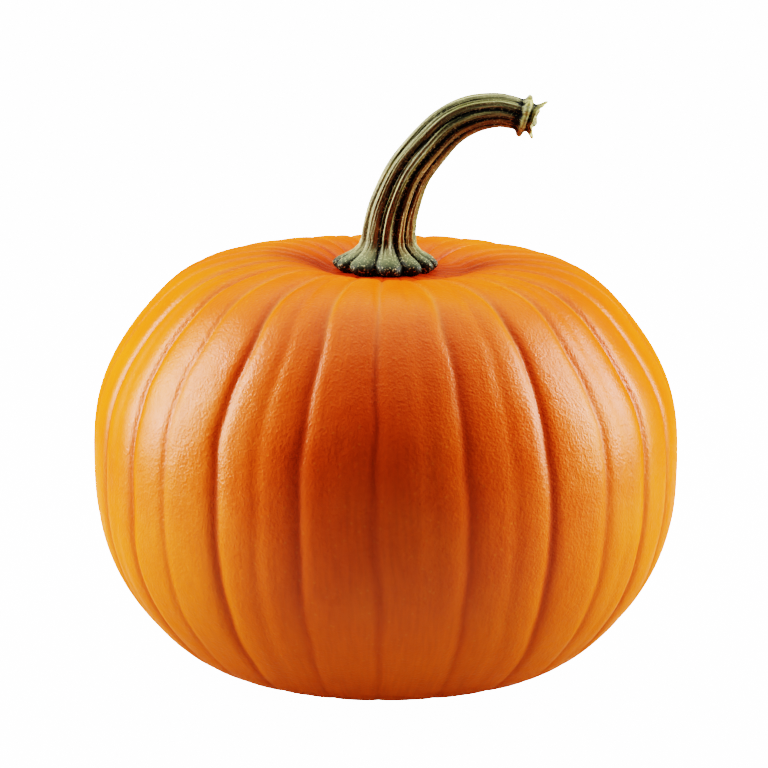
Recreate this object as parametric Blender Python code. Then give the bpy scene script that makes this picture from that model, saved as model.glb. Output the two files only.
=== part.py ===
"""A field pumpkin: one ribbed fruit with its woody stem still on it.

Run with: blender --background --python part.py
Metres, +Z up. The origin is on the ground, below the middle of the fruit; the stem leans towards +X,
and -Y is the fruit's front.
"""

import math

import bmesh
import bpy
from mathutils import Vector, geometry

# ---- Driving dimensions ----
MM = 0.001
FRUIT_RADIUS = 130 * MM  # to the crests of the ribs
EQUATOR_Z = 98.5 * MM  # height of the widest level above the ground
CROWN_HEIGHT = 98.8 * MM  # equator to the crown, before the crater is sunk in it
BASE_DEPTH = 102 * MM  # equator to the foot, before it is worn flat
CROWN_FULLNESS = 2.5  # superellipse powers: 2 is an ellipse, more is squarer
BASE_FULLNESS = 2.35
CROWN_SAG = 2.5 * MM  # how much lower the crown is on its +X side
CRATER_DEPTH = 24 * MM
CRATER_RADIUS = 33 * MM
SCAR_DIMPLE_DEPTH = 7 * MM
SCAR_DIMPLE_RADIUS = 20 * MM
SEAT_Z = 183 * MM  # flat floor of the crater, which the stem stands on
SEAT_GAP = 0.3 * MM  # clearance between the fruit and the stem's foot

FRUIT_SEGMENTS = 120
FRUIT_RINGS = 36

# Ribs: each furrow's azimuth from the front in degrees, and its depth in millimetres.
FRONT_FURROWS = [
    (-82, 2.0),
    (-70, 2.6),
    (-57, 3.0),
    (-46, 1.2),
    (-33, 3.2),
    (-17, 2.5),
    (-2, 2.4),
    (15, 2.5),
    (32, 3.2),
    (45, 1.8),
    (58, 3.0),
    (70, 2.6),
    (83, 2.0),
]
BACK_FURROWS = 13
BACK_SPAN = (96, 265)
FURROW_WIDTH = 2.3  # degrees, from a furrow's bed to its shoulder
SHOULDER_WIDTH = 6.0  # degrees, over which a rib rolls down to its furrow

# Stem: its centre line and size, as (x, height above the seat, radius) in millimetres.
STEM_LINE = [
    (0.5, 0.0, 18.3),
    (0.5, 2.6, 19.6),
    (0.4, 6.0, 16.0),
    (0.3, 11.0, 12.0),
    (0.5, 18.0, 10.8),
    (2.6, 28.0, 9.9),
    (9.3, 43.4, 8.9),
    (20.2, 56.4, 8.0),
    (28.7, 63.5, 7.8),
    (37.9, 67.8, 7.3),
    (48.0, 69.4, 6.9),
    (54.5, 68.6, 7.2),
    (59.5, 67.2, 8.4),
    (64.0, 66.2, 8.4),
    (68.0, 65.4, 6.2),
]
STEM_SEGMENTS = 40
STEM_RINGS_PER_SPAN = 4
STEM_RIDGES = 5
RIDGE_RELIEF = 0.13  # of the stem's radius, for the five main ridges
FLUTE_RELIEF = 0.05  # for the finer ridges between them


def clear_scene():
    for thing in list(bpy.data.objects):
        bpy.data.objects.remove(thing, do_unlink=True)


def make_material(name, colour, roughness):
    """A Principled material of one plain colour."""
    material = bpy.data.materials.new(name)
    material.use_nodes = True
    shader = material.node_tree.nodes["Principled BSDF"]
    shader.inputs["Base Color"].default_value = (*colour, 1.0)
    shader.inputs["Roughness"].default_value = roughness
    shader.inputs["Metallic"].default_value = 0.0
    return material


def add_part(name, mesh, material, collection):
    """A named, smooth-shaded object for a finished mesh."""
    mesh.materials.append(material)
    mesh.shade_smooth()
    part = bpy.data.objects.new(name, mesh)
    collection.objects.link(part)
    return part


# ---- Fruit ----
def all_furrows():
    """The front furrows, and evenly spaced ones of uneven depth round the back."""
    furrows = list(FRONT_FURROWS)
    first, last = BACK_SPAN
    for i in range(BACK_FURROWS):
        azimuth = first + (last - first) * i / (BACK_FURROWS - 1)
        azimuth += 1.5 * math.sin(2.4 * i)
        depth = 2.5 + 0.6 * math.cos(2.1 * i)
        furrows.append((azimuth, depth))
    return furrows


def furrow_depth(azimuth, furrows):
    """How far the skin lies below the rib crests at an azimuth in degrees, on the equator."""
    depth = 0.0
    for centre, deepest in furrows:
        away = abs((azimuth - centre + 180) % 360 - 180)
        bed = math.exp(-((away / FURROW_WIDTH) ** 2))
        shoulder = math.exp(-((away / SHOULDER_WIDTH) ** 2))
        depth += deepest * (0.45 * bed + 0.55 * shoulder)
    return depth * MM


def profile_point(polar, turn):
    """Radius and height of the skin on a rib crest; polar runs from 0 at the crown to pi."""
    radius = FRUIT_RADIUS * math.sin(polar)
    share = radius / FRUIT_RADIUS
    if polar < math.pi / 2:
        rise = CROWN_HEIGHT * (1 - share**CROWN_FULLNESS) ** (1 / CROWN_FULLNESS)
        rise -= CRATER_DEPTH * math.exp(-((radius / CRATER_RADIUS) ** 2))
        rise -= CROWN_SAG * math.cos(polar) ** 3 * (0.5 + 0.5 * math.sin(turn))
        height = EQUATOR_Z + rise
        if radius < CRATER_RADIUS:
            height = max(height, SEAT_Z)
    else:
        drop = BASE_DEPTH * (1 - share**BASE_FULLNESS) ** (1 / BASE_FULLNESS)
        drop -= SCAR_DIMPLE_DEPTH * math.exp(-((radius / SCAR_DIMPLE_RADIUS) ** 2))
        height = EQUATOR_Z - drop
    return radius, height


def profile_normal(polar, turn):
    """Outward normal of the profile, as (radial, upward)."""
    step = 0.01
    r0, z0 = profile_point(max(polar - step, 0.001), turn)
    r1, z1 = profile_point(min(polar + step, math.pi - 0.001), turn)
    length = math.hypot(r1 - r0, z1 - z0)
    return (z0 - z1) / length, (r1 - r0) / length


def rib_strength(polar, radius, height):
    """Share of the full furrow depth: all of it at the equator, none on the seat and at the scar."""
    from_axis = min(1.0, radius / FRUIT_RADIUS)
    strength = from_axis**0.55
    if polar < math.pi / 2 and radius < CRATER_RADIUS:
        return strength * min(1.0, (height - SEAT_Z) / (2 * MM))
    if polar < math.pi / 2:
        return strength
    return strength * min(1.0, max(0.0, (from_axis - 0.22) / 0.35))


def fruit_mesh():
    """A sphere whose vertices are moved out to the profile and then in by the furrows."""
    furrows = all_furrows()
    bm = bmesh.new()
    bmesh.ops.create_uvsphere(bm, u_segments=FRUIT_SEGMENTS, v_segments=FRUIT_RINGS, radius=1)
    for vertex in bm.verts:
        polar = math.acos(max(-1.0, min(1.0, vertex.co.z)))
        turn = math.atan2(vertex.co.x, -vertex.co.y)
        radius, height = profile_point(polar, turn)
        outward, upward = profile_normal(polar, turn)
        dent = furrow_depth(math.degrees(turn), furrows) * rib_strength(polar, radius, height)
        radius -= dent * outward
        height -= dent * upward
        vertex.co = (radius * math.sin(turn), -radius * math.cos(turn), max(height, 0.0))
    bmesh.ops.triangulate(bm, faces=bm.faces)
    centre_on_origin(bm)
    mesh = bpy.data.meshes.new("fruit")
    bm.to_mesh(mesh)
    bm.free()
    return mesh


def centre_on_origin(bm):
    """Slides the mesh along X and Y until the middle of its box is over the origin."""
    for axis in (0, 1):
        ends = [vertex.co[axis] for vertex in bm.verts]
        middle = (min(ends) + max(ends)) / 2
        for vertex in bm.verts:
            vertex.co[axis] -= middle


# ---- Stem ----
def stem_stations():
    """Points along the stem: (centre, direction, radius), through a smooth curve on STEM_LINE."""
    foot = SEAT_Z + SEAT_GAP
    knots = [Vector((x * MM, radius * MM, foot + rise * MM)) for x, rise, radius in STEM_LINE]
    samples = []
    for i in range(len(knots) - 1):
        before = knots[max(i - 1, 0)]
        after = knots[min(i + 2, len(knots) - 1)]
        start_handle = knots[i] + (knots[i + 1] - before) / 6
        end_handle = knots[i + 1] - (after - knots[i]) / 6
        span = geometry.interpolate_bezier(
            knots[i], start_handle, end_handle, knots[i + 1], STEM_RINGS_PER_SPAN + 1
        )
        samples += span if i == 0 else span[1:]
    stations = []
    for i, sample in enumerate(samples):
        ahead = samples[min(i + 1, len(samples) - 1)]
        behind = samples[max(i - 1, 0)]
        direction = Vector((ahead.x - behind.x, 0, ahead.z - behind.z)).normalized()
        stations.append((Vector((sample.x, 0, sample.z)), direction, sample.y))
    stations[0] = (stations[0][0], Vector((0, 0, 1)), stations[0][2])
    return stations


def ridge_shape(angle):
    """The stem's outline: 1 on average, with five main ridges and finer flutes between them."""
    main = math.cos(STEM_RIDGES * angle)
    fine = math.cos(4 * STEM_RIDGES * angle + 0.6)
    return 1 + RIDGE_RELIEF * main + FLUTE_RELIEF * fine


def stem_mesh():
    """A cylinder cut into one ring for each station, whose rings are then sized and turned to follow it."""
    stations = stem_stations()
    bm = bmesh.new()
    bmesh.ops.create_cone(
        bm, cap_ends=True, segments=STEM_SEGMENTS, radius1=1, radius2=1, depth=1
    )
    upright = [edge for edge in bm.edges if abs(edge.verts[0].co.z - edge.verts[1].co.z) > 0.5]
    bmesh.ops.subdivide_edges(bm, edges=upright, cuts=len(stations) - 2)
    side = Vector((0, 1, 0))
    for vertex in bm.verts:
        level = round((vertex.co.z + 0.5) * (len(stations) - 1))
        centre, direction, radius = stations[level]
        across = side.cross(direction)
        angle = math.atan2(vertex.co.y, vertex.co.x)
        reach = radius * ridge_shape(angle)
        vertex.co = centre + across * (reach * math.cos(angle)) + side * (reach * math.sin(angle))
    bmesh.ops.triangulate(bm, faces=bm.faces)
    mesh = bpy.data.meshes.new("stem")
    bm.to_mesh(mesh)
    bm.free()
    return mesh


def build_pumpkin():
    clear_scene()
    pumpkin = bpy.data.collections.new("pumpkin")
    bpy.context.scene.collection.children.link(pumpkin)
    rind = make_material("rind", (0.82, 0.21, 0.015), 0.38)
    woody = make_material("woody_stem", (0.22, 0.21, 0.08), 0.8)
    add_part("fruit", fruit_mesh(), rind, pumpkin)
    add_part("stem", stem_mesh(), woody, pumpkin)


build_pumpkin()
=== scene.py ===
"""A field pumpkin with its dry, arched stem, standing on a pale studio floor."""

import bisect
import math

import bmesh
import bpy
from mathutils import Matrix, Vector, geometry, noise


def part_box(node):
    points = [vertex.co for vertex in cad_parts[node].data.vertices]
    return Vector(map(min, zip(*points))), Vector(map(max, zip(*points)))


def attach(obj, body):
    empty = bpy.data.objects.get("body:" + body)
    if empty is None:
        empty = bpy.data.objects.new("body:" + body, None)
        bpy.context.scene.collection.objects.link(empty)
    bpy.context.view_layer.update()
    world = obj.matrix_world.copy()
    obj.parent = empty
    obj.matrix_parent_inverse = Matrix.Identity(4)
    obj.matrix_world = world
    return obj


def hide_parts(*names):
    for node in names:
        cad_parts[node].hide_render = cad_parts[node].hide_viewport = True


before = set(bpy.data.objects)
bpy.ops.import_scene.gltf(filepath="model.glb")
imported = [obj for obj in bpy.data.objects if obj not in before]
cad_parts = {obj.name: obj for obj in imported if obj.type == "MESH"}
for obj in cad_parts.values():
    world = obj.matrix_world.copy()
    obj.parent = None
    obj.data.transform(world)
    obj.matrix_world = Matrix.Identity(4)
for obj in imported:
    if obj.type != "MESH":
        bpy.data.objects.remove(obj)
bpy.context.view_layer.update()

# ---- The fruit ----
# Firm flesh under a thin waxy rind, grown as one piece. Its ribs run from the crater round the stem down
# to the blossom scar in the middle of the base, and it rests on a ring that its own weight pressed flat.
MM = 0.001
GROUND_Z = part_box("fruit")[0][2]
CREST_RADIUS = 129.9 * MM
EQUATOR_Z = GROUND_Z + 98.5 * MM  # the widest level
CROWN_HEIGHT = 98.8 * MM  # from there to the top, before the crater is sunk in it
CROWN_FULLNESS = 2.5  # superellipse powers: 2 is an ellipse, and more is squarer
BASE_DEPTH = 102 * MM  # and down to the foot, before it is pressed flat
BASE_FULLNESS = 2.35
CRATER_DEPTH = 24 * MM
CRATER_RADIUS = 33 * MM
CRATER_FLOOR_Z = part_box("stem")[0][2] - 0.3 * MM  # it lies this far under the stem's box
CROWN_SAG = 6.5 * MM  # at most how much lower the crown is on the +X side
FRONT_SAG = 2.9 * MM  # and in front
SCAR_DIMPLE_DEPTH = 7 * MM
SCAR_DIMPLE_RADIUS = 20 * MM

# Each furrow's azimuth from the front in degrees, and its depth in millimetres.
FURROWS = [
    (-82, 1.3), (-70, 1.5), (-57, 1.7), (-46, 0.8), (-33, 1.9), (-15.5, 1.4), (-2, 1.3),
    (15, 1.4), (32, 1.8), (45, 1.1), (58, 1.7), (70, 1.5), (83, 1.3),
]
# Thirteen more go round the back, about 14 degrees apart. The first is listed again, one turn on, to close
# the ring.
for i in range(13):
    FURROWS.append((96 + 14.1 * i + 1.5 * math.sin(2.4 * i), 1.5 + 0.35 * math.cos(2.1 * i)))
FURROWS.append((FURROWS[0][0] + 360, FURROWS[0][1]))
FURROW_AZIMUTHS = [azimuth for azimuth, depth in FURROWS]
CREASE_ROUNDING = 0.06  # of half a rib's width
# The colour of a furrow's bed is painted shade, and on the crown a painted highlight.
BED_WIDTH = 0.9  # degrees, over which the colour of a furrow's bed fades
FULL_SHADE_AND_HIGHLIGHT_DEPTH = 2  # millimetres: a furrow this deep has its full colour
# Faint creases on the ribs, given in the same way.
FAINT_FURROWS = [(-24, 0.45), (24, 0.4), (8, 0.25), (-64, 0.3), (51, 0.3), (140, 0.4), (200, 0.4)]
FAINT_WIDTH = 1.6  # degrees


def smooth(value, low, high):
    """0 below low, 1 above high, and a smooth step between."""
    share = max(0.0, min(1.0, (value - low) / (high - low)))
    return share * share * (3 - 2 * share)


def rib_section(azimuth):
    """(depth below the crest, strength of a furrow's bed, about 1 in a deep one) at an azimuth."""
    azimuth = (azimuth - FURROW_AZIMUTHS[0]) % 360 + FURROW_AZIMUTHS[0]
    right = min(bisect.bisect_right(FURROW_AZIMUTHS, azimuth), len(FURROWS) - 1)
    (start, start_depth), (end, end_depth) = FURROWS[right - 1], FURROWS[right]
    across = (azimuth - start) / (end - start)
    side_depth = start_depth + (end_depth - start_depth) * smooth(across, 0.15, 0.85)
    from_bed = 1 - abs(2 * across - 1)
    rounded = math.hypot(from_bed, CREASE_ROUNDING) - CREASE_ROUNDING
    from_crest = max(0.0, 1 - rounded)
    # A rib rolls down gently from its crest, and then steeply into the crease.
    depth = side_depth * (0.22 * from_crest**2 + 0.78 * from_crest**7)
    for centre, dip in FAINT_FURROWS:
        depth += dip * math.exp(-(((azimuth - centre) / FAINT_WIDTH) ** 2))
    degrees_away = from_bed * (end - start) / 2
    bed = math.exp(-((degrees_away / BED_WIDTH) ** 2)) * side_depth / FULL_SHADE_AND_HIGHLIGHT_DEPTH
    return depth * MM, bed


def profile_point(polar, turn):
    """Radius and height of the skin on a rib's crest; polar runs from 0 at the crown to pi at the base."""
    share = math.sin(polar)
    radius = CREST_RADIUS * share
    if polar < math.pi / 2:
        rise = CROWN_HEIGHT * (1 - share**CROWN_FULLNESS) ** (1 / CROWN_FULLNESS)
        rise -= CRATER_DEPTH * math.exp(-((radius / CRATER_RADIUS) ** 2))
        # Both sags are greatest at the crown and die away down the shoulders.
        rise -= CROWN_SAG * (0.5 + 0.5 * math.sin(turn)) * math.cos(polar) ** 6
        rise -= FRONT_SAG * max(0.0, math.cos(turn)) ** 1.5 * math.cos(polar) ** 3
        height = EQUATOR_Z + rise
        if radius < CRATER_RADIUS:
            height = max(height, CRATER_FLOOR_Z)
        return radius, height
    drop = BASE_DEPTH * (1 - share**BASE_FULLNESS) ** (1 / BASE_FULLNESS)
    drop -= SCAR_DIMPLE_DEPTH * math.exp(-((radius / SCAR_DIMPLE_RADIUS) ** 2))
    return radius, EQUATOR_Z - drop


def swelling(polar):
    """How far the outline stands outside the plain profile: full shoulders and hips, and a lean foot."""
    # Each is so many millimetres, at an angle from the crown and over a spread in degrees.
    degrees = math.degrees(polar)
    shoulder = 2.3 * math.exp(-(((degrees - 41) / 10) ** 2))
    waist = 1.0 * math.exp(-(((degrees - 64) / 10) ** 2))
    hip = 2.4 * math.exp(-(((degrees - 141) / 12) ** 2))
    rim = 3.6 * math.exp(-(((degrees - 154) / 10) ** 2))
    return (shoulder - waist + hip - rim) * MM


def place_on_skin(direction):
    """(position, furrow's bed, coordinates along the ribs) on the skin, in a direction from the middle."""
    polar = math.acos(max(-1.0, min(1.0, direction.z)))
    turn = math.atan2(direction.x, -direction.y)
    radius, height = profile_point(polar, turn)

    # The profile's outward normal, from its points a hundredth of a radian to each side.
    r0, z0 = profile_point(max(polar - 0.01, 0.001), turn)
    r1, z1 = profile_point(min(polar + 0.01, math.pi - 0.001), turn)
    length = math.hypot(r1 - r0, z1 - z0)
    outward, upward = (z0 - z1) / length, (r1 - r0) / length

    # Towards the crown the furrows bend forward by up to 3.5 degrees, and each wanders a little on its way.
    drift = 3.5 * math.sin(turn) * smooth(math.cos(polar), 0.05, 0.95)
    wander = 1.1 * noise.noise(direction * 2.6) + 0.35 * noise.noise(direction * 8)
    depth, bed = rib_section(math.degrees(turn) + drift + wander)

    # They are deepest on the shoulder, 62 mm from the axis, and run out in the crater and under the base.
    from_axis = radius / CREST_RADIUS
    if polar < math.pi / 2:
        on_shoulder = math.exp(-(((radius - 62 * MM) / (28 * MM)) ** 2))
        strength = (from_axis**0.35 + 0.45 * on_shoulder) * smooth(radius, 12 * MM, 38 * MM)
    else:
        strength = from_axis**0.55 * smooth(from_axis, 0.38, 1.02)

    # The skin is uneven by about a millimetre, and flat where it rests on the ground.
    unevenness = 0.9 * noise.noise(direction * 1.7 + Vector((4, 2, 9))) + 0.3 * noise.noise(direction * 5)
    offset = swelling(polar) + unevenness * MM * from_axis - depth * strength
    radius += offset * outward
    height = max(height + offset * upward, GROUND_Z)
    position = Vector((radius * math.sin(turn), -radius * math.cos(turn), height))
    around = turn + math.radians(wander)
    flow = Vector((math.sin(around), -math.cos(around), polar)) * CREST_RADIUS
    return position, bed * strength, flow


skin = bmesh.new()
bmesh.ops.create_uvsphere(skin, u_segments=780, v_segments=124, radius=1)
# The "furrow" attribute says where the rind paints shade into the furrows' beds, and highlight on the
# crown.
furrow_layer = skin.verts.layers.float.new("furrow")
flow_layer = skin.verts.layers.float_vector.new("flow")
for vertex in skin.verts:
    position, bed, flow = place_on_skin(vertex.co.normalized())
    vertex.co = position
    vertex[furrow_layer] = bed
    vertex[flow_layer] = flow
bmesh.ops.recalc_face_normals(skin, faces=skin.faces)
fruit_mesh = bpy.data.meshes.new("fruit_rind")
skin.to_mesh(fruit_mesh)
skin.free()
fruit_mesh.shade_smooth()
fruit = bpy.data.objects.new("fruit_rind", fruit_mesh)
bpy.context.scene.collection.objects.link(fruit)


def colour(code):
    """An sRGB hex code as a linear colour with full alpha."""
    channels = [int(code[i : i + 2], 16) / 255 for i in (1, 3, 5)]
    return (*[c / 12.92 if c <= 0.04045 else ((c + 0.055) / 1.055) ** 2.4 for c in channels], 1.0)


def add_node(tree, kind, inputs=None, stops=None, **settings):
    """Adds a node with its settings, its colour stops and its inputs, each a plain value or a link."""
    made = tree.nodes.new(kind)
    for name, value in settings.items():
        setattr(made, name, value)
    for name, value in (inputs or {}).items():
        if isinstance(value, bpy.types.NodeSocket):
            tree.links.new(value, made.inputs[name])
        else:
            made.inputs[name].default_value = value
    if stops:
        ramp = made.color_ramp.elements
        while len(ramp) < len(stops):
            ramp.new(1.0)
        for element, (at, code) in zip(ramp, stops):
            element.position = at
            element.color = colour(code)
    return made


# Pumpkin rind: a living plant skin, orange right through, under a thin natural wax. The wax gives it a
# broad satin sheen, and the skin's cells and breathing pores give it a fine pebble and pale flecks.
rind = bpy.data.materials.new("waxy_pumpkin_rind")
rind.use_nodes = True
tree = rind.node_tree
shader = tree.nodes["Principled BSDF"]
where = add_node(tree, "ShaderNodeTexCoord").outputs["Object"]
along = add_node(tree, "ShaderNodeAttribute", attribute_name="flow").outputs["Vector"]
furrow = add_node(tree, "ShaderNodeAttribute", attribute_name="furrow").outputs["Fac"]

# Patches 60 mm across, from a yellower to a redder orange.
patches = add_node(tree, "ShaderNodeTexNoise", {"Vector": where, "Scale": 1 / 0.06, "Detail": 3.0})
base = add_node(
    tree, "ShaderNodeValToRGB", {"Fac": patches.outputs["Fac"]},
    stops=[(0.3, "#DF5E0E"), (0.5, "#E76610"), (0.7, "#EC7016")],
).outputs["Color"]

# The lower half, from 100 mm up down to 30, is a shade yellower and lighter, which paints in light thrown
# up from the floor, and the crown, from 100 mm to 170, is redder. A colour Mix node's inputs are 0 (share),
# 6 and 7, and its output is 2.
height = add_node(tree, "ShaderNodeSeparateXYZ", {"Vector": where}).outputs["Z"]
floor_light_share = add_node(
    tree, "ShaderNodeMapRange",
    {"Value": height, "From Min": 0.10, "From Max": 0.03, "To Min": 0.0, "To Max": 0.6},
).outputs["Result"]
base = add_node(
    tree, "ShaderNodeMix", {0: floor_light_share, 6: base, 7: colour("#EA7A22")}, data_type="RGBA"
).outputs[2]
redder_crown = add_node(
    tree, "ShaderNodeMapRange",
    {"Value": height, "From Min": 0.10, "From Max": 0.17, "To Min": 0.0, "To Max": 0.3},
).outputs["Result"]
base = add_node(
    tree, "ShaderNodeMix", {0: redder_crown, 6: base, 7: colour("#DC4C06")}, data_type="RGBA"
).outputs[2]

# Streaks 1.6 mm wide and 18 mm long, which follow the ribs. The turn is after the stretch, and only keeps
# the noise's own grid from showing.
stretched = add_node(
    tree, "ShaderNodeMapping", {"Vector": along, "Rotation": (0.0, 0.35, 0.0), "Scale": (1.0, 1.0, 0.09)}
).outputs["Vector"]
streaks = add_node(tree, "ShaderNodeTexNoise", {"Vector": stretched, "Scale": 1 / 0.0016, "Detail": 4.0})
streak_tone = add_node(
    tree, "ShaderNodeMapRange",
    {"Value": streaks.outputs["Fac"], "From Min": 0.25, "From Max": 0.75, "To Min": 0.93, "To Max": 1.06},
).outputs["Result"]
base = add_node(
    tree, "ShaderNodeVectorMath", {0: base, "Scale": streak_tone}, operation="SCALE"
).outputs["Vector"]

# Pale breathing pores, about 1 mm across and 4 mm apart.
pores = add_node(tree, "ShaderNodeTexVoronoi", {"Vector": where, "Scale": 1 / 0.004})
pore_mask = add_node(
    tree, "ShaderNodeMapRange",
    {"Value": pores.outputs["Distance"], "From Min": 0.2, "From Max": 0.05, "To Min": 0.0, "To Max": 0.14},
).outputs["Result"]
base = add_node(
    tree, "ShaderNodeMix", {0: pore_mask, 6: base, 7: colour("#F4A552")}, data_type="RGBA"
).outputs[2]

# The furrows' beds are painted darker and redder, as shade in the creases, but on the crown, above 160 mm,
# they are thin pale lines of painted highlight.
furrow_shade_share = add_node(
    tree, "ShaderNodeMath", {0: furrow, 1: 0.6}, operation="MULTIPLY", use_clamp=True
).outputs["Value"]
crown_highlight_share = add_node(
    tree, "ShaderNodeMapRange", {"Value": height, "From Min": 0.160, "From Max": 0.182}
).outputs["Result"]
furrow_shade_and_highlight = add_node(
    tree, "ShaderNodeMix", {0: crown_highlight_share, 6: colour("#A8420C"), 7: colour("#EE8A4C")}, data_type="RGBA"
).outputs[2]
base = add_node(
    tree, "ShaderNodeMix", {0: furrow_shade_share, 6: base, 7: furrow_shade_and_highlight}, data_type="RGBA"
).outputs[2]

# Near the axis, in the crater and under the base, the rind is painted darker and redder as shade, and the
# blossom scar is corky brown.
from_axis = add_node(
    tree, "ShaderNodeVectorMath", {0: where, 1: (1.0, 1.0, 0.0)}, operation="MULTIPLY"
).outputs["Vector"]
axis_distance = add_node(
    tree, "ShaderNodeVectorMath", {0: from_axis}, operation="LENGTH"
).outputs["Value"]
axis_shade = add_node(
    tree, "ShaderNodeMapRange",
    {"Value": axis_distance, "From Min": 0.056, "From Max": 0.024, "To Min": 0.0, "To Max": 0.85},
).outputs["Result"]
base = add_node(
    tree, "ShaderNodeMix", {0: axis_shade, 6: base, 7: colour("#B23E08")}, data_type="RGBA"
).outputs[2]
near_scar = add_node(
    tree, "ShaderNodeMapRange",
    {"Value": axis_distance, "From Min": 0.011, "From Max": 0.006, "To Min": 0.0, "To Max": 1.0},
).outputs["Result"]
low_down = add_node(tree, "ShaderNodeMath", {0: height, 1: 0.05}, operation="LESS_THAN").outputs["Value"]
scar = add_node(tree, "ShaderNodeMath", {0: near_scar, 1: low_down}, operation="MULTIPLY").outputs["Value"]
base = add_node(
    tree, "ShaderNodeMix", {0: scar, 6: base, 7: colour("#6B4A2A")}, data_type="RGBA"
).outputs[2]
tree.links.new(base, shader.inputs["Base Color"])

# Wax that has rubbed thinner in places, 15 mm across.
rubbed = add_node(tree, "ShaderNodeTexNoise", {"Vector": where, "Scale": 1 / 0.015, "Detail": 4.0})
roughness = add_node(
    tree, "ShaderNodeMapRange",
    {"Value": rubbed.outputs["Fac"], "From Min": 0.3, "From Max": 0.7, "To Min": 0.33, "To Max": 0.43},
).outputs["Result"]
tree.links.new(roughness, shader.inputs["Roughness"])
shader.inputs["IOR"].default_value = 1.45

# The pebbled wax scatters its sheen at a glancing angle, so the fruit's edges keep their own orange.
grazing = add_node(tree, "ShaderNodeLayerWeight", {"Blend": 0.5}).outputs["Facing"]
wax = add_node(
    tree, "ShaderNodeMapRange",
    {"Value": grazing, "From Min": 0.2, "From Max": 0.7, "To Min": 0.4, "To Max": 0.04},
).outputs["Result"]
tree.links.new(wax, shader.inputs["Specular IOR Level"])

# Relief: shallow dimples 7 mm across, the streaks, and an orange-peel pebble of 1.3 mm over one of 0.8 mm.
dimples = add_node(tree, "ShaderNodeTexNoise", {"Vector": where, "Scale": 1 / 0.007, "Detail": 2.0})
pebble = add_node(
    tree, "ShaderNodeTexVoronoi", {"Vector": where, "Scale": 1 / 0.0013, "Smoothness": 0.6},
    feature="SMOOTH_F1",
)
cells = add_node(tree, "ShaderNodeTexNoise", {"Vector": where, "Scale": 1 / 0.0008, "Detail": 1.0})
bump = add_node(
    tree, "ShaderNodeBump",
    {"Height": dimples.outputs["Fac"], "Strength": 0.6, "Distance": 0.4 * MM},
)
bump = add_node(
    tree, "ShaderNodeBump",
    {
        "Height": streaks.outputs["Fac"], "Strength": 0.3, "Distance": 0.03 * MM,
        "Normal": bump.outputs[0],
    },
)
bump = add_node(
    tree, "ShaderNodeBump",
    {
        "Height": pebble.outputs["Distance"], "Strength": 0.7, "Distance": 0.14 * MM,
        "Normal": bump.outputs[0],
    },
)
bump = add_node(
    tree, "ShaderNodeBump",
    {
        "Height": cells.outputs["Fac"], "Strength": 0.6, "Distance": 0.19 * MM,
        "Normal": bump.outputs[0],
    },
)
tree.links.new(bump.outputs[0], shader.inputs["Normal"])
fruit_mesh.materials.append(rind)

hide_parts("fruit")
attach(fruit, "root")

# ---- The stem ----
# The dry woody stalk, broken from the vine: twelve ridges over tough fibres, which spread into toes where
# it grips the crater, and a flared collar with a torn lip round its hollow end.
FOOT_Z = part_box("stem")[0][2]
# Its centre line and size, as (x, height above the foot, radius, share of the ridges' full depth). The
# first three are in millimetres.
STALK = [
    (0.8, 13.0, 11.4, 1.0), (1.2, 18.0, 11.0, 1.0), (3.5, 28.0, 10.4, 1.0), (9.9, 43.0, 9.4, 0.95),
    (20.3, 56.4, 8.8, 0.9), (28.3, 64.0, 8.4, 0.8), (37.7, 68.6, 7.9, 0.7), (48.0, 70.2, 7.3, 0.6),
    (54.5, 69.4, 7.0, 0.55), (58.0, 68.4, 6.8, 0.6),
]
# The toes below it, as (height above the foot, radius, share that is toes rather than ridges). They start
# a little below the crater's floor, so that no gap shows under them.
TOES_X = 0.5
TOES = [
    (-0.8, 15.0, 0.6), (-0.6, 18.5, 0.9), (0.6, 20.6, 1.0), (2.2, 21.6, 1.0), (4.0, 21.2, 1.0),
    (5.6, 19.2, 0.95), (7.2, 16.4, 0.75), (9.0, 13.9, 0.5), (11.0, 12.1, 0.25),
]
# The end above it, as (distance beyond the stalk, radius, share of the lip's ragged reach): a knobbly
# collar, a groove, and a torn lip round the hollow.
END = [
    (1.0, 7.6, 0.0), (1.7, 8.8, 0.0), (2.6, 9.2, 0.0), (3.6, 8.8, 0.0), (4.2, 7.2, 0.1), (4.9, 6.2, 0.2),
    (6.0, 6.2, 0.4), (7.6, 7.4, 0.7), (9.0, 8.6, 1.0), (9.4, 8.2, 1.0), (8.4, 6.8, 0.8),
    (6.0, 5.0, 0.4), (3.4, 4.0, 0.0), (3.0, 2.2, 0.0),
]
STALK_RINGS_PER_SPAN = 18
STEM_SEGMENTS = 340
RIDGE_COUNT = 12


def through(knots, steps):
    """Evenly spaced samples of a smooth curve through the knots, each a Vector of three numbers."""
    samples = []
    for i in range(len(knots) - 1):
        before, after = knots[max(i - 1, 0)], knots[min(i + 2, len(knots) - 1)]
        start_handle = knots[i] + (knots[i + 1] - before) / 6
        end_handle = knots[i + 1] - (after - knots[i]) / 6
        span = geometry.interpolate_bezier(knots[i], start_handle, end_handle, knots[i + 1], steps + 1)
        samples += span if i == 0 else span[1:]
    return samples


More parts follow.
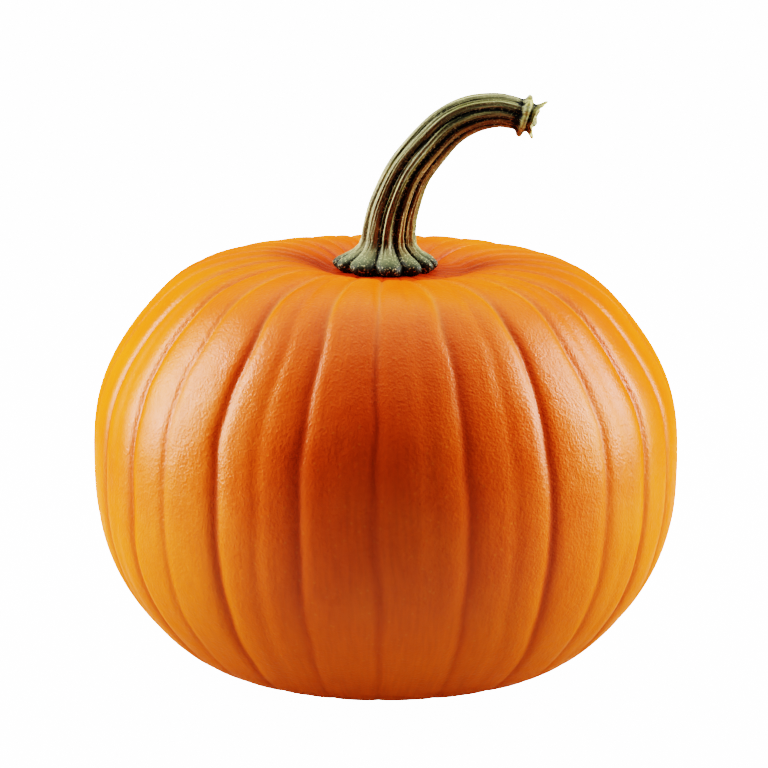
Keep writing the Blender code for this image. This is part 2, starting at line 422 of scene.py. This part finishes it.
# Every ring from the toes to the hollow: (centre, direction, radius, ridge depth, toe, end, ragged).
rings = []
for rise, radius, toe in through([Vector(knot) for knot in TOES], steps=6):
    rings.append((Vector((TOES_X, 0, rise)), Vector((0, 0, 1)), radius, 1.0, toe, 0.0, 0.0))
line = through([Vector((x, 0, rise)) for x, rise, radius, ridge in STALK], STALK_RINGS_PER_SPAN)
size = through([Vector((radius, ridge, 0)) for x, rise, radius, ridge in STALK], STALK_RINGS_PER_SPAN)
for i, centre in enumerate(line):
    direction = (line[min(i + 1, len(line) - 1)] - line[max(i - 1, 0)]).normalized()
    rings.append((centre, direction, size[i].x, size[i].y, 0.0, 0.0, 0.0))
tip, tip_direction = rings[-1][0], rings[-1][1]
tip_level = len(rings) - 1
for beyond, radius, ragged in through([Vector(knot) for knot in END], steps=4):
    at_end = smooth(beyond, 0.8, 2.2)
    ridge = 0.6 - 0.5 * at_end
    rings.append((tip + tip_direction * beyond, tip_direction, radius, ridge, 0.0, at_end, ragged))


def ridge_section(angle, along_stem):
    """(share of the radius added, height from 0 in a flute to 1 on a ridge, the plain ridges alone)."""
    # The ridges differ in spacing and height and sway a little, and two sizes of fibre run along them.
    twist = 0.12 * math.sin(along_stem * 0.04) + 0.14 * math.sin(2 * angle + 0.6)
    lobe = abs(math.cos(RIDGE_COUNT / 2 * (angle + twist)))
    main = lobe**0.8 * (0.8 + 0.2 * math.cos(3 * angle + 0.8))
    around = Vector((math.cos(angle), math.sin(angle), 0))
    fibres = noise.noise(around * 9 + Vector((0, 0, along_stem * 0.012)))
    fine = noise.noise(around * 24 + Vector((0, 0, along_stem * 0.03)))
    relief = 0.22 * (main - 0.62) + 0.08 * fibres + 0.05 * fine
    return relief, max(0.0, min(1.0, 1.1 * main + 0.3 * fibres)), lobe


stalk = bmesh.new()
bmesh.ops.create_cone(stalk, cap_ends=True, segments=STEM_SEGMENTS, radius1=1, radius2=1, depth=1)
uprights = [edge for edge in stalk.edges if abs(edge.verts[0].co.z - edge.verts[1].co.z) > 0.5]
bmesh.ops.subdivide_edges(stalk, edges=uprights, cuts=len(rings) - 2)
ridge_layer = stalk.verts.layers.float.new("ridge")
torn_layer = stalk.verts.layers.float.new("torn")
grain_layer = stalk.verts.layers.float_vector.new("grain")
side = Vector((0, 1, 0))
travelled = [0.0]
for i in range(1, len(rings)):
    travelled.append(travelled[-1] + (rings[i][0] - rings[i - 1][0]).length)
for vertex in stalk.verts:
    level = round((vertex.co.z + 0.5) * (len(rings) - 1))
    centre, direction, radius, ridge, toe, end, ragged = rings[level]
    across = side.cross(direction)
    angle = math.atan2(vertex.co.y, vertex.co.x)
    relief, crest, lobe = ridge_section(angle, travelled[level])

    # Ridges on the stalk, plump toes at the foot, and knobs on the collar, all as shares of the radius.
    around = Vector((math.cos(angle), math.sin(angle), 0))
    wobble = noise.noise(around * 1.3 + Vector((0, 0, centre.z * 0.05)))
    knob = lobe**0.65 - 0.7
    lumps = noise.noise(around * 3.2 + Vector((0, 0, travelled[level] * 0.16)))
    swell = relief * ridge * (1 - toe) + (0.26 * knob + 0.07 * wobble) * toe + 0.13 * lumps * end
    reach = radius * (1 + swell)

    # The lip reaches furthest at its top and is torn away at the front.
    torn_edge = noise.noise(around * 2.4 + Vector((0, 0, 3)))
    front = math.exp(-(((angle + math.pi / 2) / 1.0) ** 2))
    spur = math.exp(-(((abs(angle) - math.pi) / 0.55) ** 2))
    onward = ragged * (1.6 * torn_edge - 2.6 * front + 2.2 * spur - 0.4)
    place = centre + direction * onward
    place += across * (reach * math.cos(angle)) + side * (reach * math.sin(angle))
    vertex.co = (place.x * MM, place.y * MM, FOOT_Z + place.z * MM)

    # Painted shade darkens the groove, the inside of the lip and the stalk just before the collar, and
    # keeps the pale pith out of the groove.
    groove_shade = math.exp(-(((radius - 5.6) / 1.1) ** 2)) * end
    beyond = travelled[level] - travelled[tip_level]
    shade = 0.6 * math.exp(-(((beyond + 0.6) / 1.5) ** 2)) * (1 - end)
    lit = crest * (1 - 0.8 * toe) + (0.25 + 0.75 * lobe) * 0.8 * toe
    vertex[ridge_layer] = max(lit, end * 0.9) - groove_shade - shade
    vertex[torn_layer] = end - groove_shade
    vertex[grain_layer] = (around * 10 + Vector((0, 0, travelled[level]))) * MM
caps = [face for face in stalk.faces if len(face.verts) > 4]
bmesh.ops.poke(stalk, faces=caps)
bmesh.ops.recalc_face_normals(stalk, faces=stalk.faces)
stem_mesh = bpy.data.meshes.new("woody_stalk")
stalk.to_mesh(stem_mesh)
stalk.free()
stem_mesh.shade_smooth()
stem = bpy.data.objects.new("woody_stalk", stem_mesh)
bpy.context.scene.collection.objects.link(stem)

# Dried pumpkin stalk: corky skin over fibres. It is quite matt, olive and tan on the ridges, painted nearly
# black in the flutes as shade, with a dusting of pale corky specks.
woody = bpy.data.materials.new("dried_corky_stalk")
woody.use_nodes = True
tree = woody.node_tree
shader = tree.nodes["Principled BSDF"]
where = add_node(tree, "ShaderNodeTexCoord").outputs["Object"]
grain = add_node(tree, "ShaderNodeAttribute", attribute_name="grain").outputs["Vector"]
ridge = add_node(tree, "ShaderNodeAttribute", attribute_name="ridge").outputs["Fac"]

# Bands of colour 3.5 mm wide and 70 mm long on the stalk, from dark green through pale khaki to olive. Its
# -X side, which is the upper side of the arch, is painted paler as a highlight from above.
long_bands = add_node(
    tree, "ShaderNodeMapping", {"Vector": grain, "Scale": (1.0, 1.0, 0.05)}
).outputs["Vector"]
bands = add_node(tree, "ShaderNodeTexNoise", {"Vector": long_bands, "Scale": 1 / 0.0035, "Detail": 2.0})
around = add_node(tree, "ShaderNodeSeparateXYZ", {"Vector": grain})
ridge_colour = add_node(
    tree, "ShaderNodeValToRGB", {"Fac": bands.outputs["Fac"]},
    stops=[(0.34, "#4C5230"), (0.44, "#72764A"), (0.52, "#A0A178"), (0.60, "#7A7C44"), (0.70, "#626230")],
).outputs["Color"]
arch_top_highlight = add_node(
    tree, "ShaderNodeMapRange",
    {"Value": around.outputs["X"], "From Min": -0.004, "From Max": -0.0095, "To Min": 0.0, "To Max": 0.7},
).outputs["Result"]
ridge_colour = add_node(
    tree, "ShaderNodeMix", {0: arch_top_highlight, 6: ridge_colour, 7: colour("#A39C76")}, data_type="RGBA"
).outputs[2]

# One ridge, low on the front of the arch, is golden brown. The vector points at it, 44 degrees round from
# +X to the front, and its length of 100 takes the grain's 10 mm to 1.
golden_side = add_node(
    tree, "ShaderNodeVectorMath", {0: grain, 1: (72.0, -69.0, 0.0)}, operation="DOT_PRODUCT"
).outputs["Value"]
golden = add_node(
    tree, "ShaderNodeMapRange",
    {"Value": golden_side, "From Min": 0.84, "From Max": 0.96, "To Min": 0.0, "To Max": 0.8},
).outputs["Result"]
ridge_colour = add_node(
    tree, "ShaderNodeMix", {0: golden, 6: ridge_colour, 7: colour("#8E7236")}, data_type="RGBA"
).outputs[2]

# The flutes and the darkest fibres beside them, which are 0.6 mm wide, are painted nearly black as shade.
fibres = add_node(tree, "ShaderNodeTexNoise", {"Vector": long_bands, "Scale": 1 / 0.0006, "Detail": 3.0})
flute_shade_mix = add_node(
    tree, "ShaderNodeMath", {0: ridge, 1: fibres.outputs["Fac"]}, operation="ADD"
).outputs["Value"]
flute_shade_share = add_node(
    tree, "ShaderNodeMapRange", {"Value": flute_shade_mix, "From Min": 0.74, "From Max": 1.12}
).outputs["Result"]
base = add_node(
    tree, "ShaderNodeMix", {0: flute_shade_share, 6: colour("#10130A"), 7: ridge_colour}, data_type="RGBA"
).outputs[2]

# Each fibre is lighter or darker than the next.
fibre_tone = add_node(
    tree, "ShaderNodeMapRange",
    {"Value": fibres.outputs["Fac"], "From Min": 0.35, "From Max": 0.65, "To Min": 0.45, "To Max": 1.4},
).outputs["Result"]
base = add_node(
    tree, "ShaderNodeVectorMath", {0: base, "Scale": fibre_tone}, operation="SCALE"
).outputs["Vector"]

# The collar and the torn lip are bare pith, a pale yellow-green.
torn = add_node(tree, "ShaderNodeAttribute", attribute_name="torn").outputs["Fac"]
pith_patches = add_node(tree, "ShaderNodeTexNoise", {"Vector": where, "Scale": 1 / 0.002, "Detail": 3.0})
pith_share = add_node(
    tree, "ShaderNodeMapRange",
    {
        "Value": pith_patches.outputs["Fac"], "From Min": 0.40, "From Max": 0.54,
        "To Min": 0.0, "To Max": 0.85,
    },
).outputs["Result"]
pith_mask = add_node(
    tree, "ShaderNodeMath", {0: torn, 1: pith_share}, operation="MULTIPLY", use_clamp=True
).outputs["Value"]
base = add_node(
    tree, "ShaderNodeMix", {0: pith_mask, 6: base, 7: colour("#B4AC68")}, data_type="RGBA"
).outputs[2]

# Round the foot the dark green toes have painted shade below and a painted grey-green highlight on top.
stalk_height = add_node(tree, "ShaderNodeSeparateXYZ", {"Vector": where}).outputs["Z"]
up_the_toes = add_node(
    tree, "ShaderNodeMapRange", {"Value": stalk_height, "From Min": FOOT_Z, "From Max": FOOT_Z + 10 * MM}
).outputs["Result"]
toe_shade_and_highlight = add_node(
    tree, "ShaderNodeValToRGB", {"Fac": up_the_toes},
    stops=[(0.1, "#12160C"), (0.4, "#2E361E"), (0.7, "#6E7452"), (1.0, "#84845E")],
).outputs["Color"]
toe_shade_and_highlight = add_node(
    tree, "ShaderNodeMix", {0: flute_shade_share, 6: colour("#12120A"), 7: toe_shade_and_highlight}, data_type="RGBA"
).outputs[2]
foot_share = add_node(
    tree, "ShaderNodeMapRange",
    {"Value": stalk_height, "From Min": FOOT_Z + 14 * MM, "From Max": FOOT_Z + 6 * MM},
).outputs["Result"]
base = add_node(
    tree, "ShaderNodeMix", {0: foot_share, 6: base, 7: toe_shade_and_highlight}, data_type="RGBA"
).outputs[2]

# Corky specks, about 0.4 mm across.
specks = add_node(tree, "ShaderNodeTexNoise", {"Vector": where, "Scale": 1 / 0.0009, "Detail": 2.0})
speck_mask = add_node(
    tree, "ShaderNodeMapRange",
    {"Value": specks.outputs["Fac"], "From Min": 0.585, "From Max": 0.65, "To Min": 0.0, "To Max": 0.85},
).outputs["Result"]
base = add_node(
    tree, "ShaderNodeMix", {0: speck_mask, 6: base, 7: colour("#B4B288")}, data_type="RGBA"
).outputs[2]
tree.links.new(base, shader.inputs["Base Color"])
shader.inputs["Roughness"].default_value = 0.6
shader.inputs["IOR"].default_value = 1.45

# Relief: the fibres, then the specks.
bump = add_node(
    tree, "ShaderNodeBump", {"Height": fibres.outputs["Fac"], "Strength": 0.7, "Distance": 0.5 * MM}
)
bump = add_node(
    tree, "ShaderNodeBump",
    {"Height": specks.outputs["Fac"], "Strength": 0.6, "Distance": 0.35 * MM, "Normal": bump.outputs[0]},
)
tree.links.new(bump.outputs[0], shader.inputs["Normal"])
stem_mesh.materials.append(woody)

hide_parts("stem")
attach(stem, "root")

# ---- The studio ----
# A white floor that runs out of sight, two tall soft boxes at the sides, a bright patch of ceiling and a
# dim far wall. The rest of the room is dark, which keeps the front of the fruit deep in colour.


def floor_sheet(name, radius, height, code, glow):
    """A round sheet of paper with an even glow of its own."""
    ground = bmesh.new()
    bmesh.ops.create_circle(ground, cap_ends=True, segments=96, radius=radius)
    bmesh.ops.translate(ground, verts=ground.verts, vec=(0, 0, height))
    mesh = bpy.data.meshes.new(name)
    ground.to_mesh(mesh)
    ground.free()
    paper = bpy.data.materials.new(name)
    paper.use_nodes = True
    surface = paper.node_tree.nodes["Principled BSDF"]
    surface.inputs["Base Color"].default_value = colour(code)
    surface.inputs["Roughness"].default_value = 0.9
    surface.inputs["Emission Color"].default_value = colour("#FFFFFF")
    surface.inputs["Emission Strength"].default_value = glow
    mesh.materials.append(paper)
    sheet = bpy.data.objects.new(name, mesh)
    bpy.context.scene.collection.objects.link(sheet)
    return sheet


# The sheet that is seen is lit to white and throws no light on the pumpkin; the grey one under it does.
seen = floor_sheet("studio_floor", 9.0, 0.0, "#E8E8E8", 9.0)
seen.visible_diffuse = False
seen.visible_glossy = False
seen.visible_shadow = False
underlay = floor_sheet("studio_underlay", 0.6, -0.0005, "#A6A6A6", 0.0)
underlay.visible_camera = False

# The ceiling is brightest a little beyond the pumpkin, and fades out 52 degrees from there.
world = bpy.data.worlds.new("white_studio")
bpy.context.scene.world = world
world.use_nodes = True
tree = world.node_tree
toward = add_node(tree, "ShaderNodeTexCoord").outputs["Generated"]
overhead = add_node(
    tree, "ShaderNodeVectorMath", {0: toward, 1: (0.0, 0.3, 0.954)}, operation="DOT_PRODUCT"
).outputs["Value"]
ceiling = add_node(
    tree, "ShaderNodeMapRange",
    {"Value": overhead, "From Min": 0.62, "From Max": 1.0, "To Min": 0.02, "To Max": 2.1},
    interpolation_type="SMOOTHSTEP",
).outputs["Result"]
backward = add_node(tree, "ShaderNodeSeparateXYZ", {"Vector": toward}).outputs["Y"]
back_wall = add_node(
    tree, "ShaderNodeMapRange",
    {"Value": backward, "From Min": 0.0, "From Max": 0.9, "To Min": 0.0, "To Max": 0.25},
    interpolation_type="SMOOTHSTEP",
).outputs["Result"]
glow = add_node(tree, "ShaderNodeMath", {0: ceiling, 1: back_wall}, operation="ADD").outputs["Value"]
backdrop = tree.nodes["Background"]
tree.links.new(glow, backdrop.inputs["Strength"])
backdrop.inputs["Color"].default_value = colour("#FFFFFF")

# The soft boxes face the middle of the pumpkin.
MIDDLE = Vector((0, 0, 0.11))
SOFT_BOXES = [
    # azimuth from the front and elevation in degrees, distance, width and height in metres, and power
    ("soft_box_left", -96, 21, 1.1, 0.5, 1.0, 26.0),
    ("soft_box_right", 96, 21, 1.1, 0.5, 1.0, 24.5),
]
for name, azimuth, elevation, distance, width, tall, power in SOFT_BOXES:
    turn, lift = math.radians(azimuth), math.radians(elevation)
    toward_box = Vector((math.sin(turn) * math.cos(lift), -math.cos(turn) * math.cos(lift), math.sin(lift)))
    lamp = bpy.data.lights.new(name, "AREA")
    lamp.shape = "RECTANGLE"
    lamp.size = width
    lamp.size_y = tall
    lamp.energy = power
    box = bpy.data.objects.new(name, lamp)
    aim = toward_box.to_track_quat("Z", "Y").to_matrix().to_4x4()
    box.matrix_world = Matrix.Translation(MIDDLE + toward_box * distance) @ aim
    bpy.context.scene.collection.objects.link(box)

# The camera stands 1.2 m off, 12 degrees above the level, with a long portrait lens.
AIM = Vector((-0.0007, 0, 0.1313))
CAMERA_DISTANCE = 1.2
CAMERA_ELEVATION = math.radians(12)
view = Vector((0, -math.cos(CAMERA_ELEVATION), math.sin(CAMERA_ELEVATION)))
lens = bpy.data.cameras.new("camera")
lens.lens = 126.3
lens.sensor_width = 36
camera = bpy.data.objects.new("camera", lens)
facing = view.to_track_quat("Z", "Y").to_matrix().to_4x4()
camera.matrix_world = Matrix.Translation(AIM + view * CAMERA_DISTANCE) @ facing
bpy.context.scene.collection.objects.link(camera)
bpy.context.scene.camera = camera
bpy.context.scene.view_settings.view_transform = "Filmic"
bpy.context.scene.view_settings.look = "Very High Contrast"
